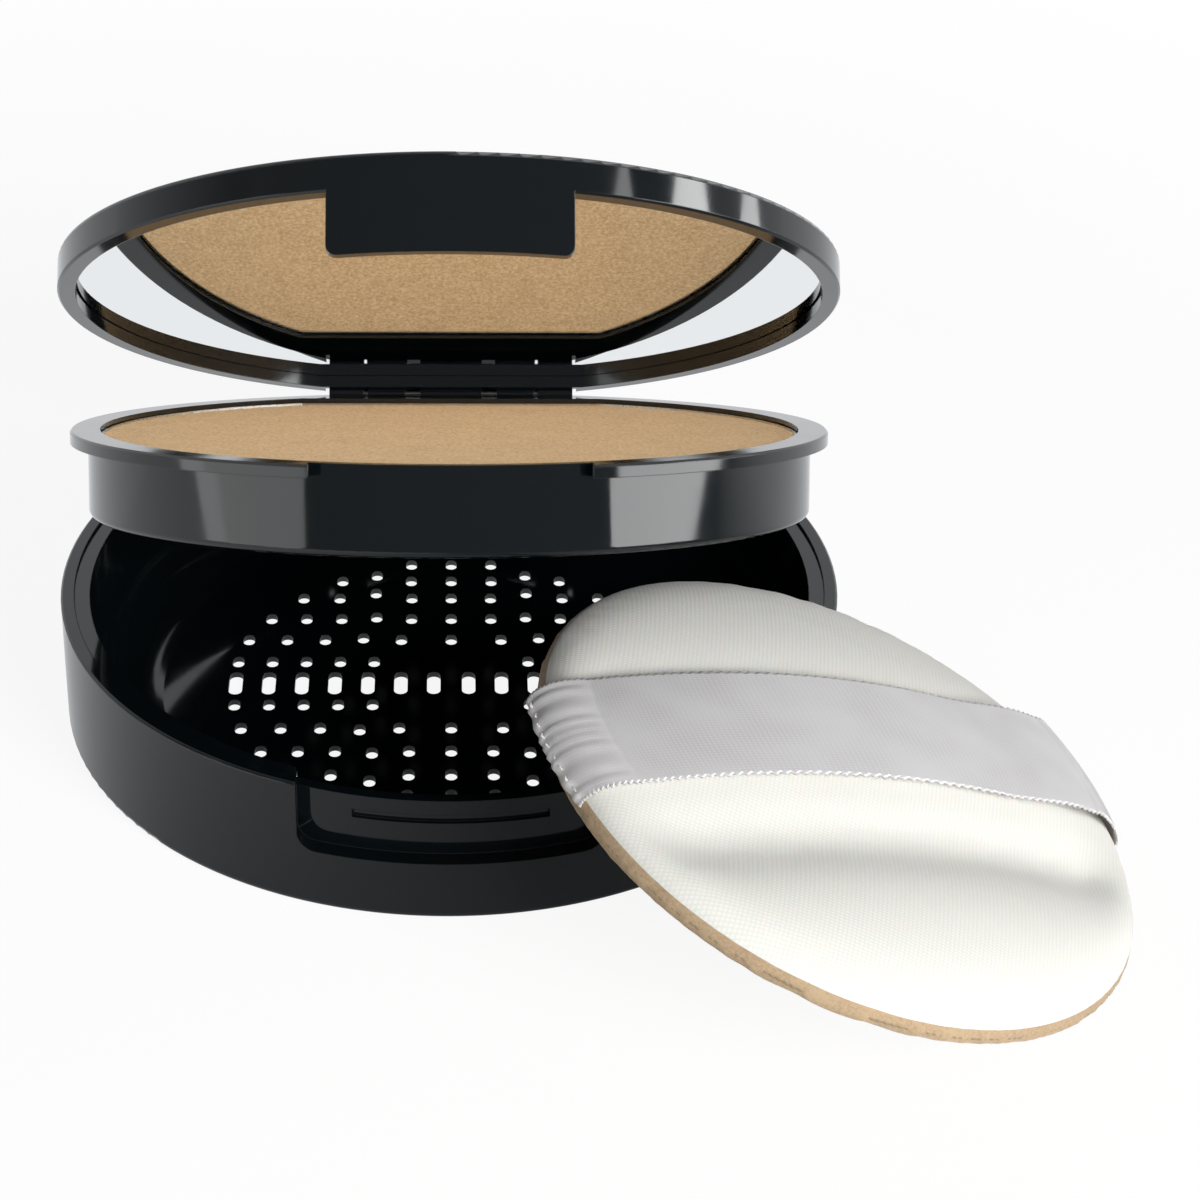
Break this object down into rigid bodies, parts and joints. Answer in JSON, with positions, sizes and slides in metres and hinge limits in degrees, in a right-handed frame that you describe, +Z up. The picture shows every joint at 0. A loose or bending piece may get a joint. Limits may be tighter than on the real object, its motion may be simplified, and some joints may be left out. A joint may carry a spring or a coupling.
{
  "type": "powder compact",
  "caption": "Round pressed-powder compact: vented base tray, hinged powder frame, mirror lid with front tab, and a loose round puff with ribbon strap.",
  "frame": {"origin": "centre of the base tray's underside", "axes": "+Z up, -Y towards the finger recess and tab, +Y towards the hinge, +X to the right seen from the front"},
  "size_m": [0.0995, 0.1087, 0.0659],
  "materials": {
    "black_moulding": "gloss, injection moulded",
    "steel_pin": "drawn wire",
    "pan_metal": "pressed sheet",
    "pressed_powder": "matt, finely grained",
    "glue": "thin adhesive film",
    "mirror_glass": "polished, silvered behind",
    "puff_foam": "soft open-cell foam",
    "puff_white_fabric": "fine knitted back",
    "puff_beige_fabric": "short velour",
    "satin_ribbon": "woven satin ribbon"
  },
  "bodies": {
    "base": {"base_tray": "black_moulding", "hinge_pin": "steel_pin"},
    "frame": {"powder_frame": "black_moulding", "powder_pan": "pan_metal", "powder_cake": "pressed_powder", "pan_glue": "glue"},
    "lid": {"lid_shell": "black_moulding", "mirror_glass": "mirror_glass", "mirror_glue": "glue"},
    "puff": {"puff_foam": "puff_foam", "puff_back_cover": "puff_white_fabric", "puff_face_cover": "puff_beige_fabric", "puff_edge_seam": "puff_beige_fabric", "puff_ribbon": "satin_ribbon", "ribbon_stitches": "satin_ribbon"}
  },
  "joints": [
    {"name": "frame_hinge", "type": "hinge", "parent": "base", "child": "frame", "pos_m": [0, 0.0356, 0.0143], "axis": [-1, 0, 0], "range_deg": [-23.4, 0]},
    {"name": "lid_hinge", "type": "hinge", "parent": "frame", "child": "lid", "pos_m": [0, 0.0356, 0.0143], "axis": [-1, 0, 0], "range_deg": [-18.9, 61]},
    {"name": "puff_takeaway", "type": "slide", "parent": "base", "child": "puff", "axis": [0.2998, -0.8794, 0.3698], "range_m": [0, 0.06104]}
  ],
  "couplings": [
    {"joint": "puff_takeaway", "follows": "frame_hinge", "m_per_rad": -0.14897}
  ]
}
